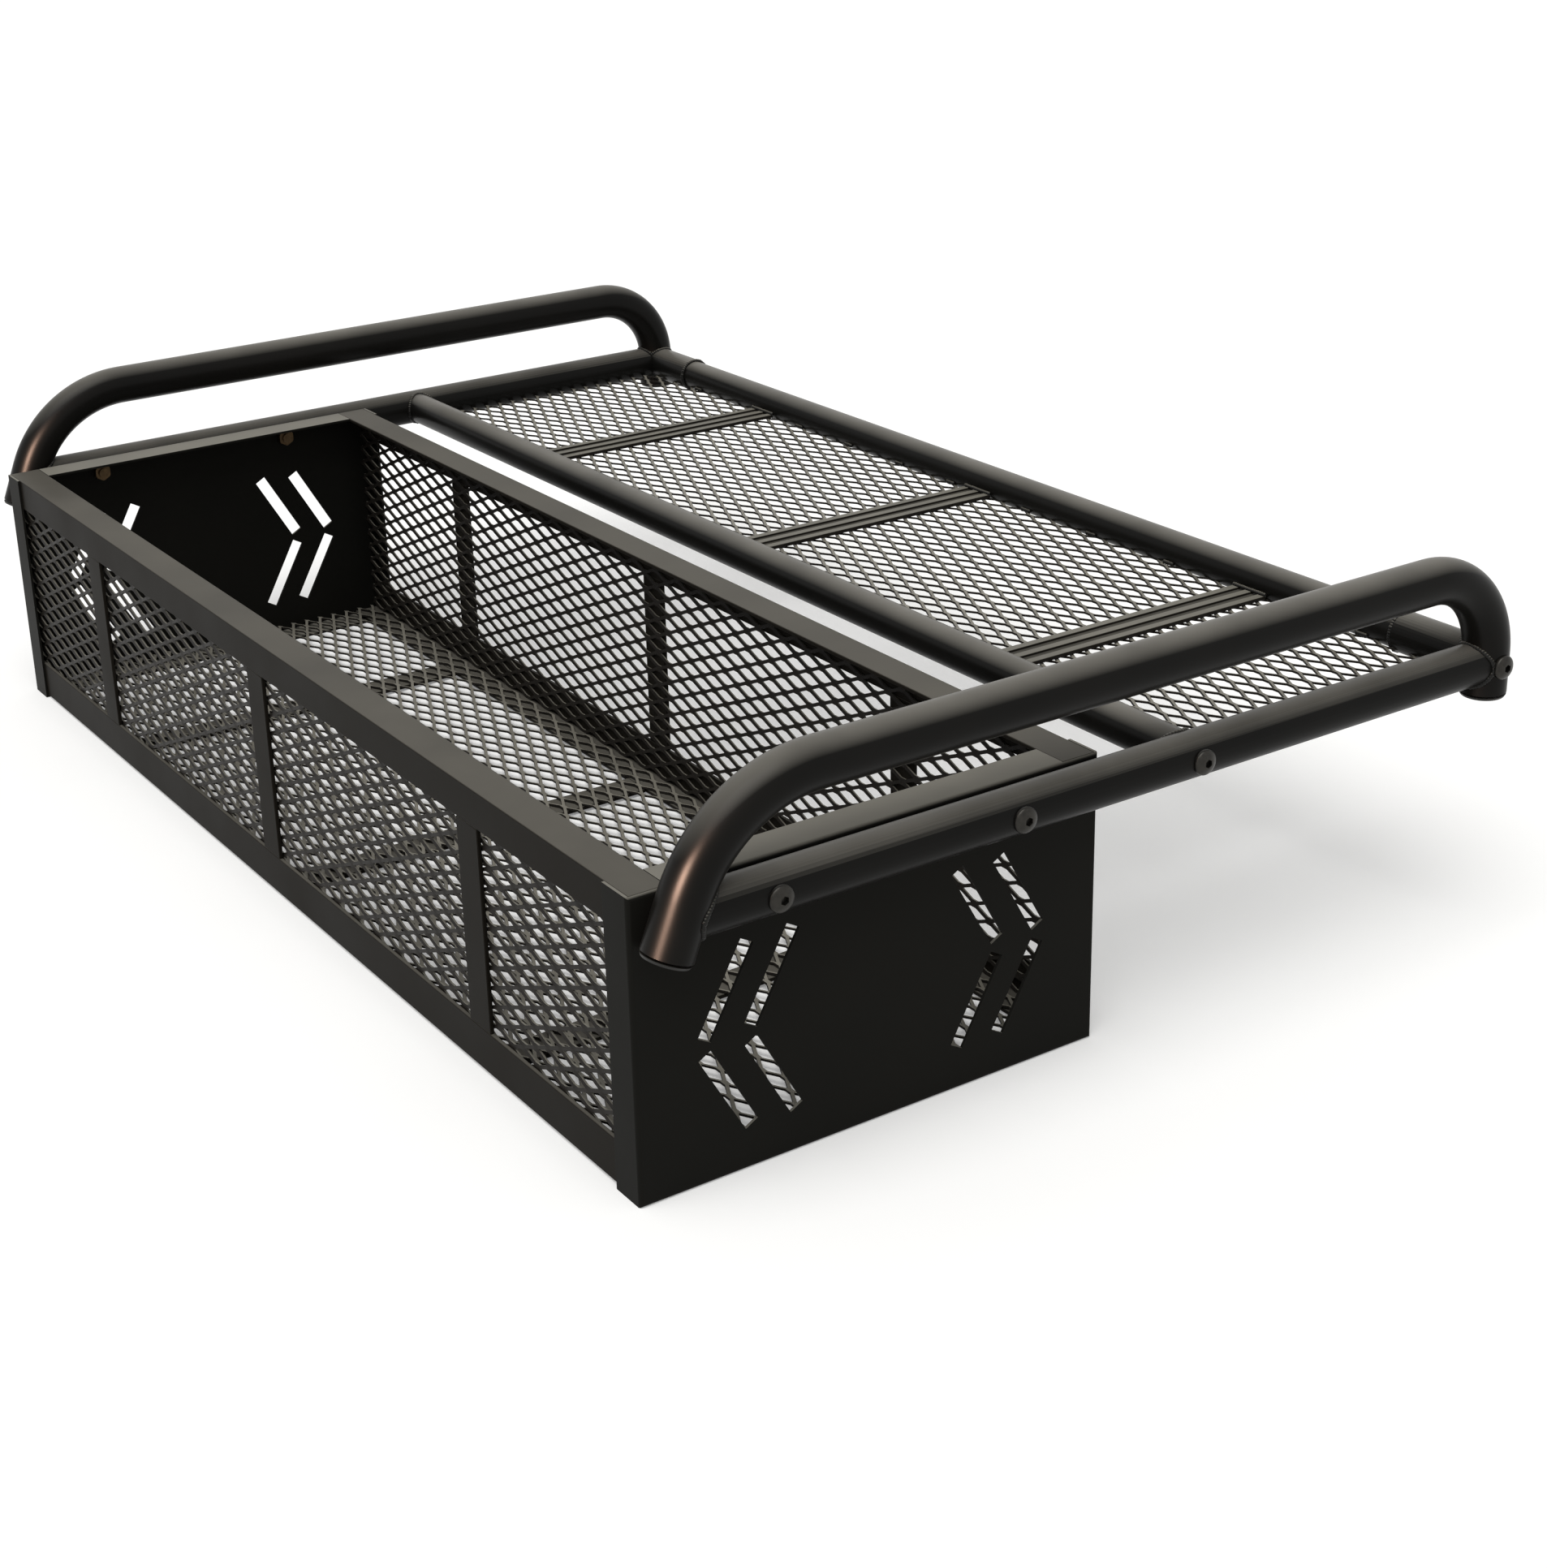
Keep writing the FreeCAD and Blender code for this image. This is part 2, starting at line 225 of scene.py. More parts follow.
tube_tree, tube_in, tube_keys = size_tree("bent_tube", ["Radius", "Round steps", "Bend steps"])
line = add(tube_tree, "GeometryNodeMeshToCurve", {0: tube_in.outputs["Geometry"]})
bend = add(tube_tree, "GeometryNodeInputNamedAttribute", {"Name": "bend"}, data_type="FLOAT")
bent = add(tube_tree, "GeometryNodeFilletCurve", {
    "Curve": line.outputs[0], "Count": tube_in.outputs["Bend steps"], "Radius": bend.outputs[0]}, mode="POLY")
ring = add(tube_tree, "GeometryNodeCurvePrimitiveCircle", {
    "Resolution": tube_in.outputs["Round steps"], "Radius": tube_in.outputs["Radius"]})
swept = add(tube_tree, "GeometryNodeCurveToMesh", {
    "Curve": bent.outputs[0], "Profile Curve": ring.outputs[0], "Fill Caps": True})
end_tree(tube_tree, swept.outputs[0], tube_coat)

rake = Vector((0, math.cos(REAR_RAKE), math.sin(REAR_RAKE)))
rear_foot = Vector((0, REAR_FOOT, LEG_END)) + rake * PLUG_RIM
rear_corner = rear_foot + rake * (HOOP_TOP - rear_foot.z) / rake.z
front_corner = Vector((0, FRONT_LEG, HOOP_TOP))
front_foot = Vector((0, FRONT_LEG, LEG_END + PLUG_RIM))
hoop_line = [rear_foot, rear_corner, front_corner, front_foot]
hoop_sides = [Vector((side, 0, 0)) for side in (-HOOP_OFFSET, HOOP_OFFSET)]
hoop_lines = paths("hoop_lines", [[point + side for point in hoop_line] for side in hoop_sides],
                   bend=[0, REAR_BEND, FRONT_BEND, 0] * 2)
hoops = grow("bent_hoops", hoop_lines, tube_tree, tube_keys,
             {"Radius": HOOP_RADIUS, "Round steps": ROUND_STEPS, "Bend steps": BEND_STEPS})
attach(hoops, "root")
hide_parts("hoop_rails")

# Each leg is closed by a black polyethylene plug, pushed in until its chamfered rim, as
# wide as the tube, stops on the cut end.
PLUG_RADIUS = 15.6 * MM
PLUG_CHAMFER = 0.9 * MM

# The plastic is a tone lighter than the coat and nearly matt, so that a fine rim shows at
# the end of each leg.
# Its upward faces take a slightly lighter colour, partly dust and partly painted highlight.
plug_plastic = powder_coat("black_polyethylene_plug", "#161514", "#201f1c", "#3a3732", (0.42, 0.55),
                           2.2, 0.006, 30, 0.30)
plug_tree, plug_in, plug_keys = size_tree("leg_plug", ["Radius", "Chamfer", "Thickness"])
narrow = reckon(plug_tree, "SUBTRACT", plug_in.outputs["Radius"], plug_in.outputs["Chamfer"])
disc = add(plug_tree, "GeometryNodeMeshCone", {
    "Vertices": 48, "Radius Top": narrow, "Radius Bottom": plug_in.outputs["Radius"],
    "Depth": plug_in.outputs["Thickness"]})


def on_spots(tree, start, shape, coat):
    """Ends a tree with its shape on every point of its start, its Z the way that the point faces."""
    facing = add(tree, "GeometryNodeInputNamedAttribute", {"Name": "facing"}, data_type="FLOAT_VECTOR")
    turned = add(tree, "FunctionNodeAlignRotationToVector", {"Vector": facing.outputs[0]}, axis="Z")
    placed = add(tree, "GeometryNodeInstanceOnPoints", {
        "Points": start.outputs["Geometry"], "Instance": shape, "Rotation": turned.outputs[0]})
    end_tree(tree, placed.outputs[0], coat)


def spots(name, places, facings):
    """A mesh of loose points that carries the way each one faces."""
    mesh = bpy.data.meshes.new(name)
    mesh.from_pydata(places, [], [])
    held = mesh.attributes.new("facing", "FLOAT_VECTOR", "POINT")
    held.data.foreach_set("vector", [n for f in facings for n in f])
    return mesh


on_spots(plug_tree, plug_in, disc.outputs["Mesh"], plug_plastic)
down = Vector((0, 0, -1))
leg_ends = [(rear_foot - rake * PLUG_RIM, -rake), (front_foot + down * PLUG_RIM, down)]
plug_places = [end + side for side in hoop_sides for end, _ in leg_ends]
plug_ways = [way for _, way in leg_ends] * len(hoop_sides)
plugs = grow("leg_plugs", spots("leg_end_spots", plug_places, plug_ways), plug_tree, plug_keys,
             {"Radius": PLUG_RADIUS, "Chamfer": PLUG_CHAMFER, "Thickness": PLUG_RIM})
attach(plugs, "root")

# The side tubes, 30 mm steel, are notched at both ends to sit round the hoop legs, and the
# cross tubes are cut square between them. The front one ends in larger sleeves.
WELD_GAP = 0.01 * MM
SAME_PLANE = math.radians(1)


def dressed(name, nodes, coat, edge_mm=0.0, flat=False, smooth=math.radians(35)):
    """A shaded copy of finished solids, their doubles merged and their flats made whole again."""
    form = bmesh.new()
    for node in nodes:
        form.from_mesh(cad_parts[node].data)
    bmesh.ops.remove_doubles(form, verts=form.verts, dist=WELD_GAP)
    bmesh.ops.dissolve_limit(form, angle_limit=SAME_PLANE, verts=form.verts, edges=form.edges)
    mesh = bpy.data.meshes.new(name)
    form.to_mesh(mesh)
    form.free()
    return coated(name, mesh, nodes, coat, edge_mm, flat, smooth)


def coated(name, mesh, nodes, coat, edge_mm, flat, smooth):
    """The piece that a mesh makes in place of some nodes, every sharp edge of it broken by
    edge_mm, as a file or a coat of powder leaves it."""
    mesh.polygons.foreach_set("use_smooth", [True] * len(mesh.polygons))
    mesh.set_sharp_from_angle(angle=smooth)
    piece = bpy.data.objects.new(name, mesh)
    bpy.context.scene.collection.objects.link(piece)
    mesh.materials.append(coat)
    if edge_mm:
        broken = piece.modifiers.new("edge", "BEVEL")
        broken.width = edge_mm * MM
        broken.segments = 2
        broken.limit_method = "ANGLE"
        broken.angle_limit = smooth
    if flat:
        weighed = piece.modifiers.new("flats", "WEIGHTED_NORMAL")
        weighed.keep_sharp = True
    if piece.modifiers:
        seen = piece.evaluated_get(bpy.context.evaluated_depsgraph_get())
        piece.data = bpy.data.meshes.new_from_object(seen)
        piece.modifiers.clear()
    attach(piece, "root")
    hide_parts(*nodes)
    return piece


ROUND = math.radians(12)
dressed("side_rails_coated", ["side_tubes"], tube_coat, smooth=ROUND)
dressed("middle_tube_coated", ["cross_tube_middle"], tube_coat, smooth=ROUND)
dressed("front_tube_coated", ["cross_tube_front"], tube_coat, smooth=ROUND)
dressed("sleeves_coated", ["corner_sleeves"], tube_coat, smooth=ROUND)

# Every joint of the tubes is closed by a fillet weld, laid all round in short overlapping
# puddles and coated over with the rest.
SIDE_OFFSET = 529.125 * MM
SIDE_RADIUS = 15 * MM
AXIS_HEIGHT = 187 * MM
CROSS_RADIUS = 13.4 * MM
MIDDLE_TUBE = 57.82 * MM
SLEEVE_RADIUS = 15 * MM
BEAD_RADIUS = 2.0 * MM
RIPPLE = 1.9 * MM
BEAD_STEPS = 40
TURN = [2 * math.pi * i / BEAD_STEPS for i in range(BEAD_STEPS + 1)]
SMALLEST_PUDDLE = 0.86
LARGEST_PUDDLE = 1.06
PUDDLE_SEED = 7

# The coat runs thinner over a weld's ripples, which catch small glints along each seam.
# Their upward faces take a lighter colour, partly dust and partly painted highlight.
weld_coat = powder_coat("black_powder_coat_on_weld", "#121210", "#1a1917", "#6e6a60", (0.28, 0.38),
                        1.1, 0.02, 20, 0.16)
bead_tree, bead_in, bead_keys = size_tree("weld_bead", ["Radius", "Ripple"])
seam = add(bead_tree, "GeometryNodeMeshToCurve", {0: bead_in.outputs["Geometry"]})
laid = add(bead_tree, "GeometryNodeResampleCurve", {
    "Curve": seam.outputs[0], "Length": bead_in.outputs["Ripple"]}, mode="LENGTH")
course = add(bead_tree, "GeometryNodeInputTangent")
lean = add(bead_tree, "FunctionNodeAlignRotationToVector", {"Vector": course.outputs[0]}, axis="Z")
puddle = add(bead_tree, "GeometryNodeMeshUVSphere", {
    "Segments": 10, "Rings": 6, "Radius": bead_in.outputs["Radius"]})
puddle_size = add(bead_tree, "FunctionNodeRandomValue", {
    2: SMALLEST_PUDDLE, 3: LARGEST_PUDDLE, "Seed": PUDDLE_SEED}, data_type="FLOAT")
beads_laid = add(bead_tree, "GeometryNodeInstanceOnPoints", {
    "Points": laid.outputs[0], "Instance": puddle.outputs["Mesh"], "Rotation": lean.outputs[0],
    "Scale": puddle_size.outputs[1]})
end_tree(bead_tree, beads_laid.outputs[0], weld_coat)


def met(start, way, axis_point, axis_way, radius):
    """Where a straight line comes to a round tube: its nearest crossing with the tube's surface."""
    across = (start - axis_point) - axis_way * axis_way.dot(start - axis_point)
    step = way - axis_way * axis_way.dot(way)
    half = across.dot(step) / step.dot(step)
    excess = (across.dot(across) - radius * radius) / step.dot(step)
    return start + way * (-half - math.sqrt(max(0.0, half * half - excess)))


def collar(centre, way, tube_radius, axis_point, axis_way, radius):
    """The seam all round the place where a tube that runs along way comes to another tube."""
    side = way.orthogonal().normalized()
    other = way.cross(side)
    rim = [centre + (side * math.cos(a) + other * math.sin(a)) * tube_radius for a in TURN]
    return [met(point, way, axis_point, axis_way, radius) for point in rim]


ahead = Vector((0, 1, 0))
leg_way = Vector((0, 0, 1))
middle_axis = Vector((0, MIDDLE_TUBE, AXIS_HEIGHT))
front_axis = Vector((0, FRONT_LEG, AXIS_HEIGHT))
seams = []
for side in (-1, 1):
    side_axis = Vector((side * SIDE_OFFSET, 0, AXIS_HEIGHT))
    rear_leg = Vector((side * HOOP_OFFSET, REAR_FOOT, LEG_END))
    front_leg = Vector((side * HOOP_OFFSET, FRONT_LEG, LEG_END))
    out = Vector((side, 0, 0))
    seams += [
        collar(side_axis, -ahead, SIDE_RADIUS, rear_leg, rake, HOOP_RADIUS),
        collar(side_axis, ahead, SIDE_RADIUS, front_leg, leg_way, HOOP_RADIUS),
        collar(middle_axis, out, CROSS_RADIUS, side_axis, ahead, SIDE_RADIUS),
        collar(front_axis, out, SLEEVE_RADIUS, front_leg, leg_way, HOOP_RADIUS),
    ]

# The sleeves' inner ends are welded to the front tube as well, the deck strips across both
# their ends, and the deck mesh is tacked to the front tube at a few places.
SLEEVE_END = 458.1 * MM
FILLET = 0.6 * MM
STRIP_PITCH = 320 * MM
STRIP_HALF = 15.5 * MM
STRIP_TOP = 182 * MM
TACK_HEIGHT = 179.6 * MM
TACK_HALF = 4 * MM
TACKS = [x * MM for x in (-432, -262, -185, -110, -38, 62, 142, 232, 372, 430)]


def flank(axis_y, height, way):
    """How far along Y a cross tube's flank stands at a height, on the side that way gives."""
    drop = AXIS_HEIGHT - height
    return axis_y + way * (math.sqrt(CROSS_RADIUS ** 2 - drop ** 2) + FILLET)


for side in (-1, 1):
    seam_x = side * (SLEEVE_END - FILLET)
    seam_radius = CROSS_RADIUS + FILLET
    seams.append([Vector((seam_x, FRONT_LEG + seam_radius * math.cos(a),
                          AXIS_HEIGHT + seam_radius * math.sin(a))) for a in TURN])
for centre in (-STRIP_PITCH, 0, STRIP_PITCH):
    for axis_y, way in ((MIDDLE_TUBE, 1), (FRONT_LEG, -1)):
        edge = flank(axis_y, STRIP_TOP, way)
        seams.append([Vector((centre + end * STRIP_HALF, edge, STRIP_TOP + FILLET)) for end in (-1, 1)])
for centre in TACKS:
    edge = flank(FRONT_LEG, TACK_HEIGHT, -1)
    seams.append([Vector((centre + end * TACK_HALF, edge, TACK_HEIGHT)) for end in (-1, 1)])
beads = grow("weld_beads", paths("weld_seams", seams), bead_tree, bead_keys,
             {"Radius": BEAD_RADIUS, "Ripple": RIPPLE}, smooth=math.radians(60))
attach(beads, "root")

# The basket's two ends: 2 mm steel sheet, its slots cut first and its four edges then
# folded inwards on a brake. Their corners are left open by the width of the fold.
PANEL_EDGE_MM = 0.3
PANEL_FOLD = math.radians(25)

# Sheet takes a flat, even coat: the panels stay near black and dull where they stand, and only their folded
# tops are greyed, partly by dust and partly by a painted highlight of the light from above.
panel_coat = powder_coat("black_powder_coat_on_sheet", "#151513", "#1b1a17", "#7f7c73", (0.40, 0.50),
                         1.8, 0.010, 110, 0.03)
dressed("left_panel_coated", ["end_panel_left"], panel_coat,
        edge_mm=PANEL_EDGE_MM, flat=True, smooth=PANEL_FOLD)
dressed("right_panel_coated", ["end_panel_right"], panel_coat,
        edge_mm=PANEL_EDGE_MM, flat=True, smooth=PANEL_FOLD)

# Rolled steel angle makes the basket's rims and lower rails. It is sawn to length between
# the end panels and welded inside them, corner outwards.
ANGLE_EDGE_MM = 0.7

# The same coat, a little browner on the hot-rolled steel: dark faces, and rims lifted to a warm grey,
# partly by a thin even dust and partly by a painted highlight of the light from above.
angle_coat = powder_coat("black_powder_coat_on_angle", "#161410", "#1f1c18", "#5c5952", (0.40, 0.50),
                         1.8, 0.012, 90, 0.03)
for place in ("rear", "front"):
    dressed(place + "_rim_coated", ["rim_angle_" + place], angle_coat,
            edge_mm=ANGLE_EDGE_MM, flat=True)
    dressed(place + "_rail_coated", ["bottom_rail_" + place], angle_coat,
            edge_mm=ANGLE_EDGE_MM, flat=True)

# Flat bar stands between rim and rail on both long sides, and lies across the floor
# between the rails at the same three places. The mesh is tacked to it.
BAR_EDGE_MM = 0.6

for place in ("left", "centre", "right"):
    bars = ["upright_rear_" + place, "upright_front_" + place, "floor_strip_" + place]
    dressed("bars_coated_" + place, bars, angle_coat, edge_mm=BAR_EDGE_MM, flat=True)

# Raised expanded steel mesh: sheet slit in staggered rows and pulled open in one stroke,
# so that every strand leans and every bond between two strands is twice as wide.
LONG_PITCH = 31.75 * MM
SHORT_PITCH = 13.8 * MM
STRAND_WIDTH = 2.4 * MM
STRAND_THICKNESS = 1.5 * MM
BOND_LENGTH = 6.0 * MM
LEAN = math.radians(-14)
OVERLAP = 1.06
STRAND_CORNER = math.radians(20)

# On the strands the coat is glossier and their tops are painted a pale grey, partly dust and partly painted
# highlight, so the lattice shows pale over dark ground and dark over light.
mesh_coat = powder_coat("black_powder_coat_on_mesh", "#1a1815", "#262320", "#8b877c", (0.36, 0.46),
                        1.2, 0.014, 60, 0.08)
mesh_tree, mesh_in, mesh_keys = size_tree("expanded_mesh", [
    "Length", "Half pitches", "Height", "Rows", "Strand width", "Thickness", "Bond", "Lean"])


def figure(operation, *values):
    """One sum in the mesh's tree."""
    return reckon(mesh_tree, operation, *values)


size = mesh_in.outputs
row_step = figure("DIVIDE", size["Height"], size["Rows"])
half_pitch = figure("DIVIDE", size["Length"], size["Half pitches"])
plan_width = figure("MULTIPLY", size["Strand width"], figure("COSINE", size["Lean"]))
climb = figure("MULTIPLY", size["Strand width"], figure("SINE", size["Lean"]))
count = figure("MULTIPLY", figure("ADD", size["Half pitches"], 1.0), 2.0)
index = add(mesh_tree, "GeometryNodeInputIndex").outputs[0]
section = add(mesh_tree, "GeometryNodeCurvePrimitiveQuadrilateral", {
    "Width": figure("MULTIPLY", size["Strand width"], OVERLAP), "Height": size["Thickness"]})
twist = add(mesh_tree, "ShaderNodeCombineXYZ", {"Z": size["Lean"]})
leaning = add(mesh_tree, "GeometryNodeTransform", {0: section.outputs[0], "Rotation": twist.outputs[0]})
both_rows = add(mesh_tree, "GeometryNodeJoinGeometry")
for start in (0.0, 1.0):
    step = figure("ADD", index, 2 * start)
    place = figure("FLOOR", figure("DIVIDE", step, 2.0))
    lower = figure("MODULO", place, 2.0)
    side = figure("SUBTRACT", figure("MODULO", step, 2.0), 0.5)
    along = figure("ADD", figure("MULTIPLY", figure("SUBTRACT", place, start), half_pitch),
                   figure("MULTIPLY", side, size["Bond"]))
    kept = add(mesh_tree, "ShaderNodeClamp", {"Value": along, "Min": 0.0, "Max": size["Length"]}).outputs[0]
    high = figure("SUBTRACT", row_step, plan_width)
    across = figure("ADD", figure("MULTIPLY", high, figure("SUBTRACT", 1.0, lower)),
                    figure("MULTIPLY", plan_width, 0.5))
    over = figure("MULTIPLY", climb, figure("SUBTRACT", lower, 0.5))
    point = add(mesh_tree, "ShaderNodeCombineXYZ", {"X": kept, "Y": across, "Z": over})
    blank = add(mesh_tree, "GeometryNodeMeshLine", {"Count": count, "Offset": (MM, 0, 0)}, mode="OFFSET")
    zigzag = add(mesh_tree, "GeometryNodeSetPosition", {0: blank.outputs[0], "Position": point.outputs[0]})
    centre_line = add(mesh_tree, "GeometryNodeMeshToCurve", {0: zigzag.outputs[0]})
    upright = add(mesh_tree, "GeometryNodeSetCurveNormal", {0: centre_line.outputs[0]}, mode="Z_UP")
    strand = add(mesh_tree, "GeometryNodeCurveToMesh", {
        "Curve": upright.outputs[0], "Profile Curve": leaning.outputs[0], "Fill Caps": True})
    first = add(mesh_tree, "ShaderNodeCombineXYZ", {"Y": figure("MULTIPLY", row_step, start)})
    apart = add(mesh_tree, "ShaderNodeCombineXYZ", {"Y": figure("MULTIPLY", row_step, 2.0)})
    lines = figure("FLOOR", figure("DIVIDE", figure("ADD", size["Rows"], 1.0 - start), 2.0))
    ladder = add(mesh_tree, "GeometryNodeMeshLine", {
        "Count": lines, "Start Location": first.outputs[0], "Offset": apart.outputs[0]}, mode="OFFSET")
    rows = add(mesh_tree, "GeometryNodeInstanceOnPoints", {
        "Points": ladder.outputs[0], "Instance": strand.outputs[0]})
    mesh_tree.links.new(rows.outputs[0], both_rows.inputs[0])
end_tree(mesh_tree, both_rows.outputs[0], mesh_coat)


def expanded(name, node, width, height, lay):
    """One sheet of the mesh, with whole half pitches both ways, laid where the matrix puts its corner."""
    piece = grow(name, bpy.data.meshes.new(name + "_blank"), mesh_tree, mesh_keys, {
        "Length": width, "Half pitches": round(2 * width / LONG_PITCH), "Height": height,
        "Rows": round(2 * height / SHORT_PITCH), "Strand width": STRAND_WIDTH, "Thickness": STRAND_THICKNESS,
        "Bond": BOND_LENGTH, "Lean": LEAN}, smooth=STRAND_CORNER)
    piece.data.transform(lay)
    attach(piece, "root")
    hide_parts(node)
    return piece


MESH_DEPTH = STRAND_WIDTH * abs(math.sin(LEAN)) * 2 + STRAND_THICKNESS * math.cos(LEAN)
STAND_UP = Matrix.Rotation(math.radians(90), 4, "X")
FLOOR_EDGE = 2.4 * MM

low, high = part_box("basket_mesh_floor")
expanded("floor_mesh_coated", "basket_mesh_floor", high.x - low.x, high.y - low.y - 2 * FLOOR_EDGE,
         Matrix.Translation((low.x, low.y + FLOOR_EDGE, low.z + MESH_DEPTH / 2)))
low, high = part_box("basket_mesh_rear")
expanded("rear_mesh_coated", "basket_mesh_rear", high.x - low.x, high.z - low.z,
         Matrix.Translation((low.x, low.y + MESH_DEPTH / 2, low.z)) @ STAND_UP)
low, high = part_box("basket_mesh_front")
expanded("front_mesh_coated", "basket_mesh_front", high.x - low.x, high.z - low.z,
         Matrix.Translation((low.x, high.y - MESH_DEPTH / 2, low.z)) @ STAND_UP)

# The deck's own sheet of the same mesh runs into the two cross tubes, and is welded to
# their flanks a little below their crests.
INTO_TUBE = 2.5 * MM

low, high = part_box("deck_mesh")
expanded("deck_mesh_coated", "deck_mesh", high.x - low.x, high.y - low.y + 2 * INTO_TUBE,
         Matrix.Translation((low.x, low.y - INTO_TUBE, high.z - MESH_DEPTH / 2)))

# Three strips lie over the deck mesh from tube to tube, 3 mm steel rolled with two broad
# grooves. A load slides on the three ridges between them.
GROOVE_DEPTH = 1.7 * MM
BANDS = 5
GROOVE_SHADE_BELOW_MM = 181.2
STRIP_EDGE_MM = 0.4
STRIP_CORNER = math.radians(35)

# The ridges take a lighter grey, partly dust and partly painted highlight, while the groove floors below them
# keep painted shade.
ridge_coat = powder_coat("black_powder_coat_on_ridges_with_painted_groove_shade", "#181613", "#23201c", "#76736a", (0.38, 0.48),
                         1.8, 0.012, 90, 0.05, groove_shade_below_mm=GROOVE_SHADE_BELOW_MM)

for place in ("left", "centre", "right"):
    low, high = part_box("deck_strip_" + place)
    section_line = [(low.x, low.z), (high.x, low.z)]
    for band in reversed(range(BANDS)):
        top = high.z - GROOVE_DEPTH * (band % 2)
        section_line += [(low.x + (high.x - low.x) * (band + end) / BANDS, top) for end in (1, 0)]
    around = len(section_line)
    strip_mesh = bpy.data.meshes.new("strip_coated_" + place)
    strip_mesh.from_pydata(
        [(x, y, z) for y in (low.y, high.y) for x, z in section_line], [],
        [tuple(range(around)), tuple(reversed(range(around, 2 * around)))]
        + [(i, around + i, around + (i + 1) % around, (i + 1) % around) for i in range(around)])
    coated("strip_coated_" + place, strip_mesh, ["deck_strip_" + place], ridge_coat,
           STRIP_EDGE_MM, True, STRIP_CORNER)

# Button-head screws, black oxide on steel, with a hexagon socket. Three stand on each
# side tube's outer flank and one on each front leg.
HEAD_RADIUS = 8.5 * MM
HEAD_HEIGHT = 4.4 * MM
SOCKET_SIZE = 2.9 * MM
SOCKET_DEPTH = 2.6 * MM
SCREW_ROWS = (-260.18 * MM, -85.18 * MM, 57.82 * MM)
HEAD_SUNK = 0.6 * MM
DOME_FROM = -0.25
DOME_DRAWN_IN = 0.80
DOME_CURVE = 2.2



def plated(name, dark, light, patch_mm, rough, metallic):
    """A metal finish that drifts between two tones of one colour, and in gloss with them."""
    made = bpy.data.materials.new(name)
    made.use_nodes = True
    tree = made.node_tree
    tree.nodes.clear()
    place = add(tree, "ShaderNodeTexCoord").outputs["Object"]
    drift = add(tree, "ShaderNodeTexNoise", {"Vector": place, "Scale": 1 / (patch_mm * MM), "Detail": 3.0})
    tint = add(tree, "ShaderNodeMix", {0: drift.outputs["Fac"], 6: linear(dark), 7: linear(light)},
               data_type="RGBA")
    gloss = add(tree, "ShaderNodeMapRange", {
        "Value": drift.outputs["Fac"], "To Min": rough[0], "To Max": rough[1]})
    shader = add(tree, "ShaderNodeBsdfPrincipled", {
        "Base Color": tint.outputs[2], "Roughness": gloss.outputs["Result"], "Metallic": metallic})
    add(tree, "ShaderNodeOutputMaterial", {"Surface": shader.outputs[0]})
    return made


def lifted(tree, shape, height):
    """The shape moved up along its own axis."""
    lift = add(tree, "ShaderNodeCombineXYZ", {"Z": height})
    return add(tree, "GeometryNodeTransform", {0: shape, "Translation": lift.outputs[0]}).outputs[0]


# Dark grey and half bright: the heads stand out from the dull coat as small discs.
screw_steel = plated("black_oxide_screw_steel", "#252422", "#3a3834", 3, (0.28, 0.46), 0.85)
screw_tree, screw_in, screw_keys = size_tree("button_screw", ["Radius", "Height", "Socket", "Depth"])
barrel = add(screw_tree, "GeometryNodeMeshCylinder", {
    "Vertices": 40, "Side Segments": 8, "Fill Segments": 1, "Radius": screw_in.outputs["Radius"],
    "Depth": screw_in.outputs["Height"]})
position = add(screw_tree, "GeometryNodeInputPosition").outputs[0]
spot = add(screw_tree, "ShaderNodeSeparateXYZ", {0: position}).outputs
share = reckon(screw_tree, "DIVIDE", spot["Z"], screw_in.outputs["Height"])
raised = add(screw_tree, "ShaderNodeMapRange", {
    "Value": share, "From Min": DOME_FROM, "From Max": 0.5, "To Max": DOME_DRAWN_IN})
bulge = reckon(screw_tree, "POWER", raised.outputs["Result"], DOME_CURVE)
narrowed = reckon(screw_tree, "SUBTRACT", 1.0, bulge)
dome_spot = add(screw_tree, "ShaderNodeCombineXYZ", {
    "X": reckon(screw_tree, "MULTIPLY", spot["X"], narrowed),
    "Y": reckon(screw_tree, "MULTIPLY", spot["Y"], narrowed), "Z": spot["Z"]})
dome = add(screw_tree, "GeometryNodeSetPosition", {
    0: barrel.outputs["Mesh"], "Position": dome_spot.outputs[0]})
key = add(screw_tree, "GeometryNodeMeshCylinder", {
    "Vertices": 6, "Radius": screw_in.outputs["Socket"], "Depth": screw_in.outputs["Depth"]})
half_height = reckon(screw_tree, "MULTIPLY", screw_in.outputs["Height"], 0.5)
key_up = lifted(screw_tree, key.outputs["Mesh"], half_height)
socketed = add(screw_tree, "GeometryNodeMeshBoolean", {0: dome.outputs[0], 1: key_up},
               operation="DIFFERENCE", solver="EXACT")
on_spots(screw_tree, screw_in, socketed.outputs[0], screw_steel)

side_flank = SIDE_OFFSET + SIDE_RADIUS - HEAD_SUNK
leg_flank = HOOP_OFFSET + HOOP_RADIUS - HEAD_SUNK
screw_places = [Vector((side * (flank + HEAD_HEIGHT / 2), y, AXIS_HEIGHT)) for side in (-1, 1)
                for flank, y in [(side_flank, row) for row in SCREW_ROWS] + [(leg_flank, FRONT_LEG)]]
screw_ways = [(math.copysign(1, p.x), 0, 0) for p in screw_places]
screws = grow("button_screws", spots("screw_spots", screw_places, screw_ways), screw_tree, screw_keys,
              {"Radius": HEAD_RADIUS, "Height": HEAD_HEIGHT, "Socket": SOCKET_SIZE, "Depth": SOCKET_DEPTH * 2})
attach(screws, "root")

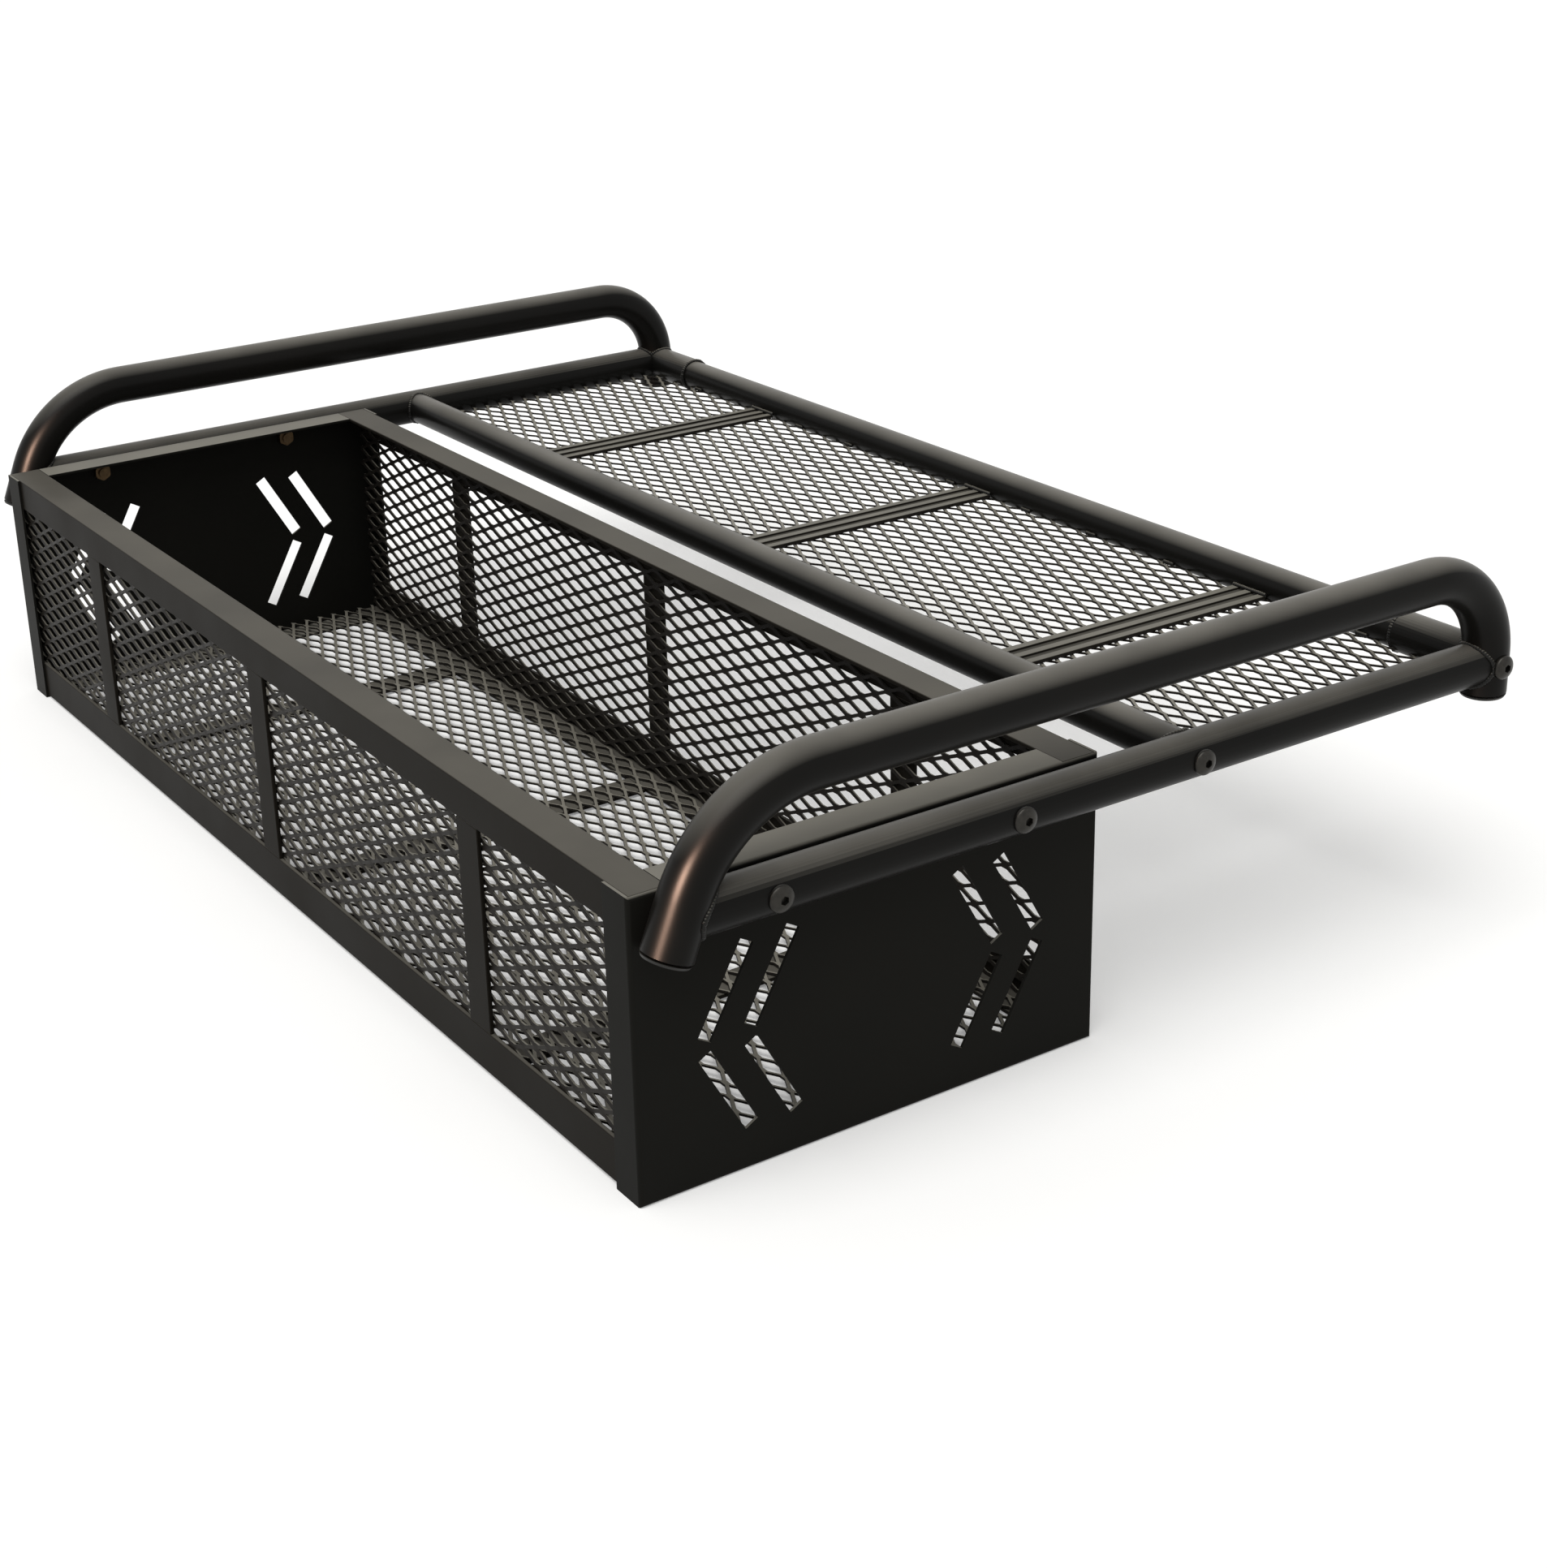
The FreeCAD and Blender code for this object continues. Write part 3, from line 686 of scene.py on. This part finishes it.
# Inside the basket each of the two rear screws is drawn up by a zinc-plated hexagon nut,
# passivated yellow, with the end of the screw standing out of it.
NUT_RADIUS = 7.5 * MM
NUT_HEIGHT = 6.5 * MM
SCREW_END = 4.0 * MM
END_STANDS = 2.0 * MM
PANEL_INSIDE = 512.125 * MM
NUT_CHAMFER = 1.035

# A dull brass-brown plate: the four small warm spots inside the dark basket.
zinc = plated("yellow_passivated_zinc_plate", "#4a3c2d", "#6e5b43", 4, (0.3, 0.5), 1.0)
nut_tree, nut_in, nut_keys = size_tree("hexagon_nut", ["Radius", "Height", "Screw", "Stands"])
hexagon = add(nut_tree, "GeometryNodeMeshCylinder", {"Vertices": 6, "Radius": nut_in.outputs["Radius"],
                                                     "Depth": nut_in.outputs["Height"]})
chamfer = add(nut_tree, "GeometryNodeMeshUVSphere", {"Segments": 40, "Rings": 24, "Radius": NUT_CHAMFER})
chamfer_size = add(nut_tree, "ShaderNodeCombineXYZ", {
    "X": nut_in.outputs["Radius"], "Y": nut_in.outputs["Radius"], "Z": nut_in.outputs["Radius"]})
chamfer_ball = add(nut_tree, "GeometryNodeTransform", {
    0: chamfer.outputs["Mesh"], "Scale": chamfer_size.outputs[0]})
turned_nut = add(nut_tree, "GeometryNodeMeshBoolean", {1: chamfer_ball.outputs[0]}, operation="INTERSECT",
                 solver="EXACT")
nut_tree.links.new(hexagon.outputs["Mesh"], turned_nut.inputs[1])
end_length = reckon(nut_tree, "ADD", nut_in.outputs["Height"], nut_in.outputs["Stands"])
end_shift = reckon(nut_tree, "MULTIPLY", nut_in.outputs["Stands"], 0.5)
thread_end = add(nut_tree, "GeometryNodeMeshCylinder", {
    "Vertices": 24, "Radius": nut_in.outputs["Screw"], "Depth": end_length})
end_up = lifted(nut_tree, thread_end.outputs["Mesh"], end_shift)
nut_and_end = add(nut_tree, "GeometryNodeMeshBoolean", {1: end_up}, operation="UNION", solver="EXACT")
nut_tree.links.new(turned_nut.outputs[0], nut_and_end.inputs[1])
on_spots(nut_tree, nut_in, nut_and_end.outputs[0], zinc)

nut_places = [Vector((side * (PANEL_INSIDE - NUT_HEIGHT / 2), row, AXIS_HEIGHT))
              for side in (-1, 1) for row in SCREW_ROWS[:2]]
nut_ways = [(-math.copysign(1, p.x), 0, 0) for p in nut_places]
nuts = grow("hexagon_nuts", spots("nut_spots", nut_places, nut_ways), nut_tree, nut_keys,
            {"Radius": NUT_RADIUS, "Height": NUT_HEIGHT, "Screw": SCREW_END, "Stands": END_STANDS})
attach(nuts, "root")

# The floor under the rack and the light: a plain pale sheet of paper without end, an even
# white sky and one broad soft lamp high on the right.
FLOOR_HALF = 30.0
SKY_LIGHT = 0.44
LAMP_LIGHT = 2.1
LAMP_SPREAD = math.radians(50)
LAMP_FROM = Vector((0.25, -0.35, 1.0))
PAPER_LIFT = 0.22


def looked_at(tree):
    """1 for what the camera sees, also in a mirror or through glass, and 0 for light that falls on things."""
    ray = add(tree, "ShaderNodeLightPath").outputs
    seen = reckon(tree, "MAXIMUM", ray["Is Camera Ray"], ray["Is Glossy Ray"])
    return reckon(tree, "MAXIMUM", seen, ray["Is Transmission Ray"])


# Matt white paper, lifted to a clean white where the camera sees it, which keeps the
# rack's soft shadow.
paper = bpy.data.materials.new("white_studio_paper")
paper.use_nodes = True
sheet = paper.node_tree
sheet.nodes.clear()
fibre = add(sheet, "ShaderNodeTexNoise", {"Vector": add(sheet, "ShaderNodeTexCoord").outputs["Object"],
                                          "Scale": 1 / (2 * MM)})
pulp = add(sheet, "ShaderNodeMix", {0: fibre.outputs["Fac"], 6: linear("#e9e8e6"), 7: linear("#ededeb")},
           data_type="RGBA")
lift = reckon(sheet, "MULTIPLY", looked_at(sheet), PAPER_LIFT)
matt = add(sheet, "ShaderNodeBsdfDiffuse", {"Color": pulp.outputs[2]})
glow = add(sheet, "ShaderNodeEmission", {"Strength": lift})
joined = add(sheet, "ShaderNodeAddShader", {0: matt.outputs[0], 1: glow.outputs[0]})
add(sheet, "ShaderNodeOutputMaterial", {"Surface": joined.outputs[0]})
floor_mesh = bpy.data.meshes.new("studio_floor")
corners = [(x * FLOOR_HALF, y * FLOOR_HALF, 0) for x, y in ((-1, -1), (1, -1), (1, 1), (-1, 1))]
floor_mesh.from_pydata(corners, [], [(0, 1, 2, 3)])
floor_mesh.materials.append(paper)
floor = bpy.data.objects.new("studio_floor", floor_mesh)
bpy.context.scene.collection.objects.link(floor)

sky = bpy.data.worlds.new("white_sky")
bpy.context.scene.world = sky
sky.use_nodes = True
air = sky.node_tree
air.nodes.clear()
power = add(air, "ShaderNodeMapRange", {"Value": looked_at(air), "To Min": SKY_LIGHT, "To Max": 1.0})
glowing = add(air, "ShaderNodeBackground", {"Color": (1, 1, 1, 1), "Strength": power.outputs["Result"]})
add(air, "ShaderNodeOutputWorld", {"Surface": glowing.outputs[0]})

lamp = bpy.data.lights.new("soft_lamp", "SUN")
lamp.energy = LAMP_LIGHT
lamp.angle = LAMP_SPREAD
lamp_object = bpy.data.objects.new("soft_lamp", lamp)
lamp_object.matrix_world = LAMP_FROM.to_track_quat("Z", "Y").to_matrix().to_4x4()
bpy.context.scene.collection.objects.link(lamp_object)

# A second, warm lamp stands behind the rack's rear right corner. It only adds its own
# reflection on the two hoops, a coppery streak down their rear bends.
STREAK_PLACE = Vector((1.45, -3.2, 1.25))
STREAK_TARGET = Vector((0.53, -0.31, 0.21))
STREAK_WATTS = 850.0
STREAK_WIDE = 1.0
STREAK_HIGH = 1.2
STREAK_COLOUR = "#ffd2b8"

streak = bpy.data.lights.new("warm_lamp", "AREA")
streak.shape = "RECTANGLE"
streak.size = STREAK_WIDE
streak.size_y = STREAK_HIGH
streak.energy = STREAK_WATTS
streak.color = linear(STREAK_COLOUR)[:3]
streak_object = bpy.data.objects.new("warm_lamp", streak)
streak_object.visible_diffuse = False
lit_by_streak = bpy.data.collections.new("lit_by_warm_lamp")
lit_by_streak.objects.link(hoops)
streak_object.light_linking.receiver_collection = lit_by_streak
streak_turn = (STREAK_PLACE - STREAK_TARGET).to_track_quat("Z", "Y").to_matrix().to_4x4()
streak_object.matrix_world = Matrix.Translation(STREAK_PLACE) @ streak_turn
bpy.context.scene.collection.objects.link(streak_object)

# The view transform
bpy.context.scene.view_settings.view_transform = "Standard"
